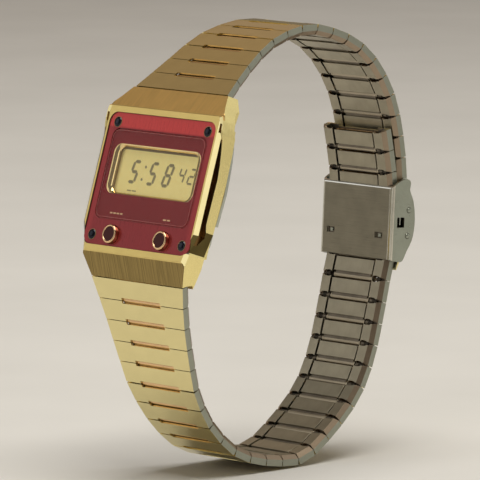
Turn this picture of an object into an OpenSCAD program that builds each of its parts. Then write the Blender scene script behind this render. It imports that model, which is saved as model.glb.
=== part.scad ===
// Square digital wristwatch on a folded-link bracelet with a sliding fold-over clasp.
// Millimetres, +Z up, X along the wrist. The origin is the middle of the flat case back,
// the face looks towards -Y and leans back, and the bracelet closes behind it.

/* [Head] */
// Lean of the face from upright, degrees
face_tilt = 18; // [12:1:24]
// Depth from the face plate to the case back
head_depth = 6.4; // [6.2:0.1:7.5]
// Width of the bezel rim
rim_width = 29.2; // [28.8:0.1:29.4]
// Width of the face plate
plate_width = 26.8; // [26.2:0.1:27.0]
// Height of the face plate
plate_height = 23.5; // [23.0:0.1:23.7]
// Thickness of the face plate
plate_thick = 0.5; // [0.4:0.05:0.6]
// Diameter of a push button
button_dia = 3.3; // [2.8:0.1:3.6]
// How far a push button stands out
button_proud = 0.85; // [0.6:0.05:1.1]
// Travel of a push button
button_travel = 0.5; // [0.3:0.05:0.5]
// Diameter of the button cell
cell_dia = 9.5; // [7.9:0.1:9.5]

/* [Bracelet] */
// Distance between link pivots
pitch = 3.9; // [3.8:0.05:4.0]
// Gap between links at the outer face when straight
seam = 0.14; // [0.1:0.02:0.2]
// Half thickness of a link
half_thick = 0.95; // [0.9:0.01:1.0]
// Radius of a link pin
pin_r = 0.3; // [0.25:0.01:0.32]
// Radial clearance of a link knuckle on its pin
pin_fit = 0.04; // [0.02:0.01:0.06]

/* [Clasp] */
// Length of the clasp channel
channel_length = 13.7; // [13.0:0.1:14.5]
// Half width of the clasp channel over its flanges
channel_half = 9.0; // [8.9:0.05:9.2]
// Thickness of the channel sheet
sheet = 0.4; // [0.35:0.05:0.45]
// Thickness of the fold-over cover
cover_thick = 0.7; // [0.6:0.05:0.75]

/* [Hidden] */
$fn = 64;
e = 0.01;
// bezel and slopes, seen from the side: half height, lug end, slope
bezel_v = 13;
lug_v = 17;
slope = 30;
lug_h = -(lug_v - bezel_v) * tan(slope);
deck = -2;                     // underside of the deck that carries the display
back_h = -4.6;                 // seat of the case back
screw_x = 11.4;
screw_v = 10.05;
button_x = 6.4;
button_v = -9.7;
knuckle_r = 0.62;
knuckle_x = 4.85;
ear_x0 = 5.1;
ear_x1 = 5.8;
// strap width at each seam from the case
widths = [23.2, 21.4, 19.9, 18.9, 18.0, 17.2, 16.5, 16.0, 15.8];
function seam_w(i) = widths[min(i, len(widths) - 1)];
// direction of each link of the closed bracelet, degrees from +Y
upper_dir = [36, 35, 34, 28, 17, 10, 0, -13, -19, -28, -40, -51, -60, -70, -77, -81, -86];
lower_dir = [-76, -75, -74, -73, -72, -62, -55, -46, -38, -24, -14, -8, -3, 18, 34, 37, 42, 51, 62, 69, 74, 75, 76];
end_pitch = 4.4;               // the last upper link, which reaches the clasp pin
clasp_dir = -93.5;
function along(a) = [0, cos(a), sin(a)];
function head_point(v, h) = [0,
    v * sin(face_tilt) - (h + head_depth) * cos(face_tilt),
    v * cos(face_tilt) + (h + head_depth) * sin(face_tilt)];
// hinge at the lug end, one half thickness under the slope
hinge_v = lug_v - half_thick * sin(slope);
hinge_h = lug_h - half_thick * cos(slope);
function up_len(i) = i == len(upper_dir) - 1 ? end_pitch : pitch;
function up_pivot(i) = i == 0 ? head_point(hinge_v, hinge_h) : up_pivot(i - 1) + up_len(i - 1) * along(upper_dir[i - 1]);
function low_pivot(i) = i == 0 ? head_point(-hinge_v, hinge_h) : low_pivot(i - 1) + pitch * along(lower_dir[i - 1]);
n_up = len(upper_dir);
n_low = len(lower_dir);

function up_name(i) = str("upper_link_", i < 9 ? "0" : "", i + 1);
function low_name(i) = str("lower_link_", i < 9 ? "0" : "", i + 1);

gold = [0.80, 0.68, 0.38];
steel = [0.66, 0.67, 0.63];
red = [0.45, 0.14, 0.15];

// ---- frames ----
module head() { rotate([90 - face_tilt, 0, 0]) translate([0, 0, head_depth]) children(); }
// across X, (y, z) outline
module across(x0, x1) { translate([x0, 0, 0]) rotate([90, 0, 90]) linear_extrude(x1 - x0) children(); }
module rrect(w, h, r) {
    square([w - 2 * r, h], center = true);
    square([w, h - 2 * r], center = true);
    for (sx = [-1, 1], sy = [-1, 1]) translate([sx * (w / 2 - r), sy * (h / 2 - r)]) circle(r);
}
module slab(w, h, r, z0, z1) { translate([0, 0, z0]) linear_extrude(z1 - z0) rrect(w, h, r); }
module drum(r, x0, x1) { translate([x0, 0, 0]) rotate([0, 90, 0]) cylinder(r = r, h = x1 - x0); }
module both() { children(); mirror([1, 0, 0]) children(); }

// ---- head ----
function slope_point(y, z) = [hinge_v + y * cos(slope) + z * sin(slope), hinge_h - y * sin(slope) + z * cos(slope)];
module case_side() {
    top = [[bezel_v, 0.2], [bezel_v, 0], slope_point(-seam / 2, half_thick), slope_point(-seam / 2, 0),
           [16.13, -4.12], [16.6, -4.62], [15.9, -4.58], [11.4, -4], [11.2, back_h]];
    n = len(top);
    polygon(concat(top, [for (i = [0:n - 1]) [-top[n - 1 - i][0], top[n - 1 - i][1]]]));
}
function both_sides(r) = concat(r, [for (i = [0:len(r) - 1]) [-r[len(r) - 1 - i][0], r[len(r) - 1 - i][1]]]);
module case_plan() {
    x = rim_width / 2;
    polygon(both_sides([[11.55, 17.6], [12, 16.8], [13.15, 14.8], [14.33, 13.15], [x, 12.2],
        [x, -7.91], [x - 1.248, -11.03], [13.75, -11.35], [13.05, -13.2], [11.3, -17.6]]));
}
module case() color(gold) head() difference() {
    union() {
        difference() {
            intersection() {
                across(-15, 15) case_side();
                translate([0, 0, -7]) linear_extrude(8) case_plan();
            }
            // shadow groove under the rim
            both() across(13.95, 16) polygon([[-10.6, -0.35], [-9.6, -1.1], [-7.6, -2.1], [-5.8, -1.45], [-1.3, -1.55], [2.2, -1.65],
                [4.8, -1.4], [7.3, -1], [9.4, -0.6], [9.4, -0.35]]);
        }
        // polished side bars, oblique at the lower end
        both() intersection() {
            translate([0, 0, -5]) linear_extrude(6) polygon([[13.5, -7.91], [rim_width / 2, -7.91], [rim_width / 2 + 0.34, -7.06],
                [rim_width / 2 + 0.34, 9.6], [rim_width / 2, 12.2], [13.5, 12.2]]);
            across(13, 15.5) polygon([[-8, -1.8], [-7.06, -1.55], [-5.8, -1.2], [-1.3, -1.3], [2.2, -1.4], [4.8, -1.15], [7.3, -0.72],
                [9, -0.42], [10.6, 0], [12.2, 0.18], [12.3, -4.2], [-8, -4.2]]);
        }
        // cheeks beside the first link
        intersection() {
            both() across(11.68, 15) polygon([[15.4, -2.5], [16.93, -2.3], [16.9, -4.66], [15.4, -4.5]]);
            translate([0, 0, -7]) linear_extrude(7) case_plan();
        }
        // ears for the spring bars
        for (s = [0, 1]) mirror([0, s, 0]) both() translate([0, hinge_v, hinge_h]) rotate([-slope, 0, 0]) {
            translate([ear_x0, -1.2, -0.4]) cube([ear_x1 - ear_x0, 1.2, 0.8]);
            drum(0.55, ear_x0, ear_x1);
        }
    }
    // recess of the flanks over the back
    both() across(13.3, 16) polygon([[15.3, -7], [15.3, -4.4], [14.9, -4.15], [14.4, -3.7], [13.9, -3.2], [13, -2.8], [11.3, -2.9], [9.7, -3.3], [7, -3.5], [2, -3.65],
        [-3, -3.5], [-7.06, -3.3], [-11, -3.9], [-11, -7]]);
    slab(plate_width + 0.1, plate_height + 0.1, 1.8, -plate_thick, 1);
    // display opening
    translate([0, 2.02, 0]) slab(22.4, 10.1, 0.8, deck - 1, 0);
    // hollow for the movement
    slab(23.2, 20.8, 1.5, back_h - 1, deck);
    // seat of the back gasket
    difference() {
        slab(25.4, 22.0, 2, back_h - e, back_h + 0.5);
        slab(24.4, 21.2, 1.8, back_h - 1, back_h + 1);
    }
    for (s = [-1, 1]) {
        translate([s * button_x, button_v, deck + 0.5]) cylinder(d = button_dia + 0.1, h = 3);
        translate([s * button_x, button_v, deck - 1]) cylinder(r = 0.66, h = 3);
        translate([s * button_x, button_v, -1.85]) cylinder(r = 1, h = 0.2);
        translate([s * button_x, button_v, -3]) cylinder(r = 1.05, h = 1.05);
    }
    for (sx = [-1, 1], sy = [-1, 1]) translate([sx * screw_x, sy * screw_v, -1.8]) cylinder(r = 0.5, h = 3);
    for (s = [0, 1]) mirror([0, s, 0]) translate([0, hinge_v, hinge_h]) rotate([-slope, 0, 0]) {
        drum(pin_r, -6.3, 6.3);
        drum(0.8, -ear_x0 + 0.05, ear_x0 - 0.05);
        translate([-ear_x0 + 0.05, -0.5, 0]) cube([2 * ear_x0 - 0.1, 2, 2]);
        translate([-ear_x0 + 0.05, -0.75, -3]) cube([2 * ear_x0 - 0.1, 2, 3]);
    }
}
module face_plate() color(red) head() difference() {
    slab(plate_width, plate_height, 1.75, -plate_thick, 0);
    translate([-0.1, 0.95, 0]) slab(23.9, 16.1, 1.6, -0.3, 1);
    translate([0, 1.95, 0]) slab(22.3, 9.4, 1.75, -2, 0);
    for (s = [-1, 1]) translate([s * button_x, button_v, -2]) cylinder(d = button_dia + 0.1, h = 3);
    for (sx = [-1, 1], sy = [-1, 1]) translate([sx * screw_x, sy * screw_v, -2]) cylinder(r = 0.5, h = 3);
}
module face_screws() color([0.12, 0.14, 0.2]) head()
    for (sx = [-1, 1], sy = [-1, 1]) translate([sx * screw_x, sy * screw_v, 0]) {
        translate([0, 0, -1.8]) cylinder(r = 0.5, h = 1.9);
        rotate_extrude() polygon([[0, 0], [0.85, 0], [0.85, 0.08], [0.7, 0.2], [0.4, 0.28], [0, 0.3]]);
    }
module crystal() color([0.5, 0.2, 0.2, 0.6]) head() translate([-0.1, 0.95, 0]) slab(23.8, 16, 1.55, -0.3, 0.1);
module window_frame() color(gold) head() translate([0, 1.95, 0]) difference() {
    slab(22.2, 9.3, 1.7, -1.2, -0.3);
    slab(19.7, 8.1, 1.2, -2, 1);
}
module lcd_panel() color([0.84, 0.77, 0.5]) head() translate([0, 2.02, 0]) {
    slab(21.8, 9.9, 0.5, -1.6, -1.2);
    slab(20.6, 9.2, 0.3, -2, -1.6);
}
module module_frame() color([0.2, 0.2, 0.2]) head() difference() {
    slab(23, 20.6, 1.4, -2.85, deck);
    translate([0, 2, 0]) slab(19.5, 8.4, 1, -4, 0);
    for (s = [-1, 1]) translate([s * button_x, button_v + 0.2, -4]) cylinder(r = 1.3, h = 4);
}
module circuit_board() color([0.1, 0.3, 0.2]) head() {
    difference() {
        slab(22.6, 20, 1.2, -3.35, -2.85);
        for (s = [-1, 1]) translate([s * 9.6, 7.6, -4]) cylinder(r = 0.7, h = 2);
    }
    // driver chip, quartz can and trimmer
    translate([-9.4, 4.2, -4.2]) cube([4, 3, 0.9]);
    translate([9.2, 5.5, -4.35]) rotate([90, 0, 0]) cylinder(r = 1, h = 6);
    translate([-8, -6.6, -4.1]) cylinder(r = 1.5, h = 0.8);
}
module battery() color(steel) head() translate([0, -0.6, -5.6]) {
    cylinder(d = cell_dia, h = 1.75);
    translate([0, 0, 1.7]) cylinder(d = cell_dia - 1.6, h = 0.5);
}
module button(s) color(gold) head() translate([s * button_x, button_v, 0]) {
    difference() {
        translate([0, 0, -0.9]) cylinder(d = button_dia, h = 0.9 + button_proud);
        translate([0, 0, button_proud - 0.1]) cylinder(d = button_dia - 0.7, h = 1);
    }
    translate([0, 0, -2.35]) cylinder(r = 0.6, h = 1.6);
    translate([0, 0, -2.3]) cylinder(r = 0.95, h = 0.2);
}
module button_springs() color(steel) head() for (s = [-1, 1]) translate([s * button_x, button_v, -1.5])
    difference() { cylinder(r = 1.5, h = 0.07); translate([0, 0, -1]) cylinder(r = 0.75, h = 3); }
module gaskets() color([0.1, 0.1, 0.1]) head() {
    difference() {
        slab(25.3, 21.9, 1.95, back_h, back_h + 0.5);
        slab(24.5, 21.3, 1.85, back_h - 1, back_h + 1);
    }
    for (s = [-1, 1]) translate([s * button_x, button_v, -1.85])
        difference() { cylinder(r = 1, h = 0.2); translate([0, 0, -1]) cylinder(r = 0.66, h = 3); }
}
module case_back() color(steel) head() difference() {
    union() {
        slab(25.5, 22.3, 2.4, back_h - 0.6, back_h);
        translate([0, 0, back_h - 0.6]) linear_extrude(0.6) polygon(both_sides([[12.7, 8.8], [13.2, 8.6], [13.65, 6], [13.95, 2.5], [14.05, 0],
            [13.9, -2.2], [13.7, -5.4], [12.7, -5.4]]));
        slab(23.4, 20.2, 2, -head_depth, back_h - 0.5);
    }
    slab(22.4, 19.2, 1.6, -head_depth + 0.5, back_h + 1);
}
module spring_bars() color(steel) head() for (s = [0, 1]) mirror([0, s, 0])
    translate([0, hinge_v, hinge_h]) rotate([-slope, 0, 0]) drum(pin_r, -6.2, 6.2);

// ---- bracelet: local Y along the strap from its start pivot, local Z outwards ----
module plan(w0, w1, len, cut) {
    polygon([[-w0 / 2 + cut, 0], [w0 / 2 - cut, 0], [w1 / 2 - cut, len], [-w1 / 2 + cut, len]]);
}
module link_side(len) {
    h = half_thick;
    g = seam / 2;
    polygon([[g, h], [len - g, h], [len - g, -0.1], [len - 0.3, -h], [0.3, -h], [g, -0.1]]);
}
module link(w0, w1, len = pitch, far = "ears") {
    h = half_thick;
    difference() {
        intersection() {
            across(-w0 / 2, w0 / 2) link_side(len);
            translate([0, 0, -h]) linear_extrude(2 * h) plan(w0, w1, len, 0);
        }
        translate([0, 0, -h + 0.3]) linear_extrude(2 * h - 0.6) plan(w0, w1, len, 1);
        translate([0, 0, -2]) linear_extrude(2) plan(w0, w1, len, 2.6);
        for (y = [-1, len - 0.43]) translate([-knuckle_x - 0.05, y, 0]) cube([2 * knuckle_x + 0.1, 1.43, 2]);
        if (far == "knuckle") translate([0, len, 0]) drum(pin_r + pin_fit, -9, 9);
    }
    // inner plate, spacer and knuckle
    difference() {
        union() {
            across(-4.45, 4.45) polygon([[0, -0.62], [0.45, -0.62], [0.45, -h], [len - (far == "knuckle" ? 0 : 0.62) - 0.05, -h],
                [len - (far == "knuckle" ? 0 : 0.62) - 0.05, -0.62], [2.7, -0.62], [2.7, h - 0.2], [1.2, h - 0.2], [1.2, -0.3], [0, -0.3]]);
            drum(knuckle_r, -knuckle_x, knuckle_x);
            if (far == "knuckle") {
                translate([0, len, 0]) drum(knuckle_r, -knuckle_x, knuckle_x);
                across(-4.45, 4.45) polygon([[2, -0.5], [len, -0.5], [len, 0.5], [2, 0.5]]);
            }
        }
        drum(pin_r + pin_fit, -9, 9);
        if (far == "knuckle") translate([0, len, 0]) drum(pin_r + pin_fit, -9, 9);
    }
    if (far == "ears") {
        both() {
            translate([ear_x0, 1.6, -0.35]) cube([ear_x1 - ear_x0, len - 1.6, 0.7]);
            translate([ear_x0, 1.6, -0.35]) cube([ear_x1 - ear_x0, 0.9, h + 0.25]);
            translate([0, len, 0]) drum(0.55, ear_x0, ear_x1);
        }
        translate([0, len, 0]) drum(pin_r, -ear_x1, ear_x1);
    }
}
module upper_link(i) color(gold) translate(up_pivot(i)) rotate([upper_dir[i], 0, 0])
    link(seam_w(i), seam_w(i + 1), up_len(i), i == n_up - 1 ? "knuckle" : "ears");
module lower_link(i) color(gold) translate(low_pivot(i)) rotate([lower_dir[i], 0, 0]) mirror([0, 0, 1])
    link(seam_w(i), seam_w(i + 1), pitch, i == n_low - 1 ? "plain" : "ears");

// ---- clasp: local Y down the channel from the strap pin, local Z outwards ----
floor_z = -3.62;
guide = [4.9, 0.62];
latch = [9.5, 0.5];
module clasp() { translate(up_pivot(n_up)) rotate([clasp_dir, 0, 0]) children(); }
module clasp_channel() color(steel) clasp() difference() {
    union() {
        // the floor thins towards the upper strap, where the strap end runs in
        across(-channel_half, channel_half) polygon([[1.1, floor_z], [channel_length, floor_z], [channel_length, floor_z + sheet],
            [2.3, floor_z + sheet], [1.1, floor_z + 0.22]]);
        both() across(channel_half - 0.5, channel_half) {
            polygon([[1.1, floor_z], [0.75, -3.45], [-0.25, -1.95], [-0.6, -0.6], [-0.6, 0.1], [-0.4, 0.65], [0, 0.88], [0.5, 0.85], [1.35, 0.65],
                [2.1, 1.1], [3.1, 1.62], [4.2, 1.95], [5.45, 2.17], [6.8, 2.27], [8, 2.22], [9.2, 2.05], [10.3, 1.75], [11.3, 1.2],
                [12.2, 0.55], [13.3, 0], [14, -0.45], [14.2, -1], [14.05, -2.4], [channel_length, floor_z]]);
        }
    }
    translate([-10, 6.2, -2.2]) cube([20, 1.8, 1.8]);
    drum(pin_r, -10, 10);
    for (p = [guide, latch]) translate([0, p[0], p[1]]) drum(pin_r, -10, 10);
}
module clasp_pins() color(steel) clasp() {
    drum(pin_r, -channel_half - 0.1, channel_half + 0.1);
    for (p = [guide, latch]) translate([0, p[0], p[1]]) drum(pin_r, -channel_half - 0.1, channel_half + 0.1);
}
module clasp_cover() color(gold) clasp() difference() {
    union() {
        across(0.58 - channel_half, channel_half - 0.58) polygon([[1.55, 0.68], [2.2, 1.05], [3.1, 1.52], [4.2, 1.84], [5.45, 2.06], [6.8, 2.16], [8, 2.11],
            [9.2, 1.94], [10.3, 1.64], [11.3, 1.09], [12.2, 0.45], [13.3, -0.1], [14.2, -0.56], [15.1, -1], [15.75, -1.3],
            [15.4, -1.45], [14.6, -1.18], [13.9, -0.98], [12.6, -0.42], [12, -0.1], [10.2, 2.2 - 1.1 * cover_thick / 0.7], [8, 1.5],
            [6.8, 1.5], [5.45, 1.38], [3.3, 0.9], [1.75, 0.15]]);
        both() across(8.02, 8.38) polygon([[-0.1, 0.78], [0.3, -0.7], [3.5, 0.2], [3.8, 1.5], [1.6, 0.66]]);
        both() drum(0.8, 8.02, 8.38);
    }
    drum(pin_r + pin_fit, -10, 10);
}
module clasp_lever() color(steel) clasp() translate([0, latch[0], latch[1]]) difference() {
    union() {
        drum(0.62, -6.5, 6.5);
        across(-6.5, 6.5) polygon([[0, -0.6], [3.1, -1.58], [3.5, -1.6], [3.5, -1.32], [3.1, -1.25], [0, 0.1]]);
    }
    drum(pin_r + pin_fit, -10, 10);
}
// strap end held in the channel: distance down the channel, height, and turn of each link
tail_dir = [167, 180, 180, 180, 188.5, 193.5, 195];
function tail(i) = i == 0 ? [0, 17.52, -3.1] : tail(i - 1) + pitch * along(tail_dir[i - 1]);
module clasp_strap() color(gold) clasp()
    for (i = [0:len(tail_dir) - 1]) translate(tail(i)) rotate([tail_dir[i], 0, 0]) mirror([0, 0, 1])
        link(seam_w(9), seam_w(9), pitch, i == len(tail_dir) - 1 ? "plain" : "ears");

case();
face_plate();
face_screws();
crystal();
window_frame();
lcd_panel();
module_frame();
circuit_board();
battery();
button(-1);  // button_left
button(1);  // button_right
button_springs();
gaskets();
case_back();
spring_bars();
for (i = [0:n_up - 1]) upper_link(i);
for (i = [0:n_low - 1]) lower_link(i);
clasp_channel();
clasp_cover();
clasp_lever();
clasp_pins();
clasp_strap();
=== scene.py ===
import bpy, bmesh, math
from mathutils import Vector, Matrix


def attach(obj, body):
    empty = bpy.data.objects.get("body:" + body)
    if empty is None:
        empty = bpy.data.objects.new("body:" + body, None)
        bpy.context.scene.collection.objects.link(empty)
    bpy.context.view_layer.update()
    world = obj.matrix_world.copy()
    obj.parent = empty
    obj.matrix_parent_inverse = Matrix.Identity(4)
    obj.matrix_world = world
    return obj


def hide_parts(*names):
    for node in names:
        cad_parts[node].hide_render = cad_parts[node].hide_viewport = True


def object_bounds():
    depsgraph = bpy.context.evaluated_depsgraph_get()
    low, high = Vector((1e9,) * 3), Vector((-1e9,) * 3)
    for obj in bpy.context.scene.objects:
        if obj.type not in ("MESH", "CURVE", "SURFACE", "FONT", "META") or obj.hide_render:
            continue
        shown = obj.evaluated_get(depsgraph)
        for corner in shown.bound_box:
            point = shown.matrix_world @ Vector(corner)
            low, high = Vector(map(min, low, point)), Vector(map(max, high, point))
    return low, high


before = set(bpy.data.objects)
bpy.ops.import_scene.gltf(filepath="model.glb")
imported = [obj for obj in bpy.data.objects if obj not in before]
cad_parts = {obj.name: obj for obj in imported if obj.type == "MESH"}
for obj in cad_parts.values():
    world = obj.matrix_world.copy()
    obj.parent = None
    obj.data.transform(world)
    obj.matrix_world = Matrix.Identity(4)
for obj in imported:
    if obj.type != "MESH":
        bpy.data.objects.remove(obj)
LO0, HI0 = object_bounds()
MM = 0.001

# ------------------------------------------------------------------ sizes, millimetres
TILT, DEPTH, PITCH, ENDP, SLOPE, HT = 18.0, 6.4, 3.9, 4.4, 30.0, 0.95
LUG, BEZ = 17.0, 13.0
LUG_H = -(LUG - BEZ) * math.tan(math.radians(SLOPE))
PW, PH = 26.8, 23.5
RIMW = 29.2
WIDTHS = [23.2, 21.4, 19.9, 18.9, 18.0, 17.2, 16.5, 16.0, 15.8]
UPPER = [36, 35, 34, 28, 17, 10, 0, -13, -19, -28, -40, -51, -60, -70, -77, -81, -86]
LOWER = [-76, -75, -74, -73, -72, -62, -55, -46, -38, -24, -14, -8, -3, 18, 34, 37, 42, 51, 62, 69, 74, 75, 76]
CLASP = -93.5


def cs(a): return math.cos(math.radians(a))
def sn(a): return math.sin(math.radians(a))
def seam_w(i): return WIDTHS[min(i, len(WIDTHS) - 1)]
def head_pt(v, h): return Vector((0, v * sn(TILT) - (h + DEPTH) * cs(TILT), v * cs(TILT) + (h + DEPTH) * sn(TILT)))


HV, HH = LUG - HT * sn(SLOPE), LUG_H - HT * cs(SLOPE)
UP = [head_pt(HV, HH)]
for i, a in enumerate(UPPER):
    UP.append(UP[-1] + (ENDP if i == len(UPPER) - 1 else PITCH) * Vector((0, cs(a), sn(a))))
LOW = [head_pt(-HV, HH)]
for a in LOWER:
    LOW.append(LOW[-1] + PITCH * Vector((0, cs(a), sn(a))))
TAIL_DIR = [167, 180, 180, 180, 188.5, 193.5, 195]
TAIL = [Vector((0, 17.52, -3.1))]
for a in TAIL_DIR:
    TAIL.append(TAIL[-1] + PITCH * Vector((0, cs(a), sn(a))))


def place(p, ang):
    return Matrix.Translation(Vector(p) * MM) @ Matrix.Rotation(math.radians(ang), 4, "X")


HEAD = Matrix.Rotation(math.radians(90 - TILT), 4, "X") @ Matrix.Translation((0, 0, DEPTH * MM))
CL = place(UP[-1], CLASP)

# ------------------------------------------------------------------ materials


class Mat:
    """A small node-tree helper: every value is set on the shader's own sockets."""

    def __init__(self, name, head=False):
        self.m = bpy.data.materials.new(name)
        self.m.use_nodes = True
        self.t = self.m.node_tree
        self.n = self.t.nodes
        self.b = self.n["Principled BSDF"]
        self.coord = self.n.new("ShaderNodeTexCoord").outputs["Object"]
        if head:
            mp = self.n.new("ShaderNodeMapping")
            mp.inputs["Rotation"].default_value = (math.radians(TILT - 90), 0, 0)
            mp.inputs["Location"].default_value = (0, 0, -DEPTH * MM)
            self.link(self.coord, mp.inputs["Vector"])
            self.coord = mp.outputs["Vector"]

    def put(self, **kw):
        for k, v in kw.items():
            self.b.inputs[k.replace("_", " ")].default_value = v
        return self

    def link(self, a, b):
        self.t.links.new(a, b)

    def mapping(self, scale, rot=(0, 0, 0)):
        mp = self.n.new("ShaderNodeMapping")
        mp.inputs["Scale"].default_value = [s * 1000 for s in scale]
        mp.inputs["Rotation"].default_value = rot
        self.link(self.coord, mp.inputs["Vector"])
        return mp.outputs["Vector"]

    def noise(self, scale, detail=3.0, rough=0.55, vec=None, dist=0.0):
        nz = self.n.new("ShaderNodeTexNoise")
        nz.inputs["Scale"].default_value = 1.0
        nz.inputs["Detail"].default_value = detail
        nz.inputs["Roughness"].default_value = rough
        nz.inputs["Distortion"].default_value = dist
        self.link(vec if vec is not None else self.mapping(scale), nz.inputs["Vector"])
        return nz.outputs["Fac"]

    def ramp(self, fac, stops):
        r = self.n.new("ShaderNodeValToRGB")
        el = r.color_ramp.elements
        while len(el) > len(stops):
            el.remove(el[-1])
        while len(el) < len(stops):
            el.new(0.5)
        for e, (p, c) in zip(el, stops):
            e.position = p
            e.color = c if len(c) == 4 else (*c, 1)
        self.link(fac, r.inputs["Fac"])
        return r.outputs["Color"]

    def maprange(self, fac, a, b, c, d):
        r = self.n.new("ShaderNodeMapRange")
        for k, v in zip(("From Min", "From Max", "To Min", "To Max"), (a, b, c, d)):
            r.inputs[k].default_value = v
        self.link(fac, r.inputs["Value"])
        return r.outputs["Result"]

    def mix(self, fac, a, b, mode="MIX"):
        x = self.n.new("ShaderNodeMix")
        x.data_type = "RGBA"
        x.blend_type = mode
        for sock, v in ((x.inputs[0], fac), (x.inputs[6], a), (x.inputs[7], b)):
            if hasattr(v, "is_output"):
                self.link(v, sock)
            else:
                sock.default_value = v if not isinstance(v, tuple) or len(v) == 4 else (*v, 1)
        return x.outputs[2]

    def bump(self, fac, strength, dist, normal=None):
        b = self.n.new("ShaderNodeBump")
        b.inputs["Strength"].default_value = strength
        b.inputs["Distance"].default_value = dist * MM
        self.link(fac, b.inputs["Height"])
        if normal is not None:
            self.link(normal, b.inputs["Normal"])
        self.link(b.outputs["Normal"], self.b.inputs["Normal"])
        return b.outputs["Normal"]


def metal(name, color, rough, streak=None, streak_amt=0.12, bump=0.0, cloud=0.06, head=False, metallic=1.0, rough_amt=0.08):
    """Plated or bare metal. streak gives the noise scale per mm on each local axis: small along the brushing."""
    m = Mat(name, head)
    m.put(Metallic=metallic, Roughness=rough)
    cl = m.noise((0.35, 0.35, 0.35), 3, 0.5)
    dark = tuple(c * (1 - cloud) for c in color)
    lite = tuple(min(1, c * (1 + cloud)) for c in color)
    base = m.ramp(cl, [(0.3, dark), (0.7, lite)])
    fine = m.noise((9, 9, 9), 2, 0.6)
    if streak:
        s = m.noise(streak, 5, 0.65)
        st = m.ramp(s, [(0.25, (1 - streak_amt,) * 3), (0.75, (1.0,) * 3)])
        base = m.mix(1.0, base, st, "MULTIPLY")
        m.link(m.maprange(s, 0.25, 0.75, max(0.03, rough - rough_amt), rough + rough_amt), m.b.inputs["Roughness"])
        if bump:
            m.bump(s, bump, 0.02)
    else:
        m.link(m.maprange(fine, 0.3, 0.7, max(0.02, rough - rough_amt * 0.4), rough + rough_amt * 0.4), m.b.inputs["Roughness"])
        if bump:
            m.bump(fine, bump, 0.006)
    m.link(base, m.b.inputs["Base Color"])
    return m.m


GOLD = (0.78, 0.60, 0.22)
PALE = (0.84, 0.73, 0.37)
M = {}
M["link_out"] = metal("gold_satin", PALE, 0.20, (0.5, 14, 14), 0.05, 0.02, 0.03, rough_amt=0.03)
M["link_edge"] = metal("gold_edge", PALE, 0.22, None, cloud=0.04)
M["link_side"] = metal("steel_side", (0.36, 0.37, 0.30), 0.40, (16, 0.8, 16), 0.10, 0.05, 0.06)
M["link_in"] = metal("steel_inner", (0.40, 0.36, 0.27), 0.46, (16, 0.7, 16), 0.16, 0.12, 0.10)
M["link_cham"] = metal("steel_chamfer", (0.36, 0.28, 0.20), 0.38, (16, 0.8, 16), 0.12, 0.08, 0.08)
M["roll_gold"] = metal("roll_gold", (0.86, 0.56, 0.30), 0.22, (0.5, 14, 14), 0.14, 0.05, 0.08)
M["roll_steel"] = metal("roll_steel", (0.46, 0.40, 0.30), 0.44, (0.6, 14, 14), 0.12, 0.05, 0.08)
# painted shade: steel painted dark for hollows, slots, recesses and the filler blocks inside the links
M["recess_shade"] = metal("steel_recess_shade", (0.22, 0.19, 0.15), 0.55, None, cloud=0.2)
M["pin"] = metal("pin_steel", (0.55, 0.55, 0.52), 0.25, (0.8, 12, 12), 0.1, 0.0, 0.05)
# one brushed gold in two copies: painted lighter on the top slope and painted darker on the lower slope, for how the
# light falls on each
M["slope"] = metal("gold_brushed_lit", (0.95, 0.62, 0.22), 0.44, (5.5, 0.06, 0.06), 0.30, 0.20, 0.03, head=True, rough_amt=0.06)
M["slope_low"] = metal("gold_brushed_low_shaded", (0.50, 0.36, 0.13), 0.42, (4.0, 0.06, 0.06), 0.75, 0.40, 0.03, head=True, rough_amt=0.08)
M["rim"] = metal("gold_rim", GOLD, 0.34, (0.5, 5, 5), 0.06, 0.03, 0.03, head=True)
M["polish"] = metal("gold_polished", PALE, 0.13, None, cloud=0.04, bump=0.02, head=True)
M["bar"] = metal("gold_bar", (0.92, 0.78, 0.34), 0.26, None, cloud=0.03, bump=0.02)
# painted shade: gold painted near black for the shaded groove between the rim and the side bar
M["groove"] = metal("gold_groove", (0.16, 0.09, 0.03), 0.30, None, cloud=0.15)
M["flange"] = metal("steel_flange", (0.37, 0.39, 0.32), 0.32, (2.5, 2.5, 2.5), 0.08, 0.04, 0.06)
# painted shade: a darker brown gold for the shaded shelf under the rim and the notch in the flank
M["ledge_shade"] = metal("gold_ledge_shade", (0.42, 0.27, 0.11), 0.30, None, cloud=0.10, head=False)
M["steel"] = metal("steel_satin", (0.52, 0.54, 0.47), 0.34, (3, 3, 3), 0.07, 0.03, 0.05)
M["floor"] = metal("steel_brushed", (0.30, 0.27, 0.20), 0.34, (0.25, 9, 9), 0.22, 0.12, 0.08)
M["gold_button"] = metal("gold_button", (0.85, 0.56, 0.32), 0.13, (3, 3, 3), 0.05, 0.0, 0.04)
# painted shade: gold painted near black for the shaded facet at the lower end of the side bar
M["facet_shade"] = metal("gold_facet_shade", (0.10, 0.075, 0.025), 0.18, None, cloud=0.12, bump=0.02)
M["frame_gold"] = metal("window_gold", (0.96, 0.74, 0.37), 0.14, None, cloud=0.04)
M["back_brushed"] = metal("back_brushed", (0.58, 0.58, 0.55), 0.34, (10, 0.5, 10), 0.16, 0.12, 0.06)
# painted highlight: a brighter steel for the bright reflection along the clasp's rounded fold
M["fold"] = metal("steel_fold_highlight", (0.74, 0.71, 0.60), 0.15, (12, 0.6, 12), 0.10, 0.04, 0.05)
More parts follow.
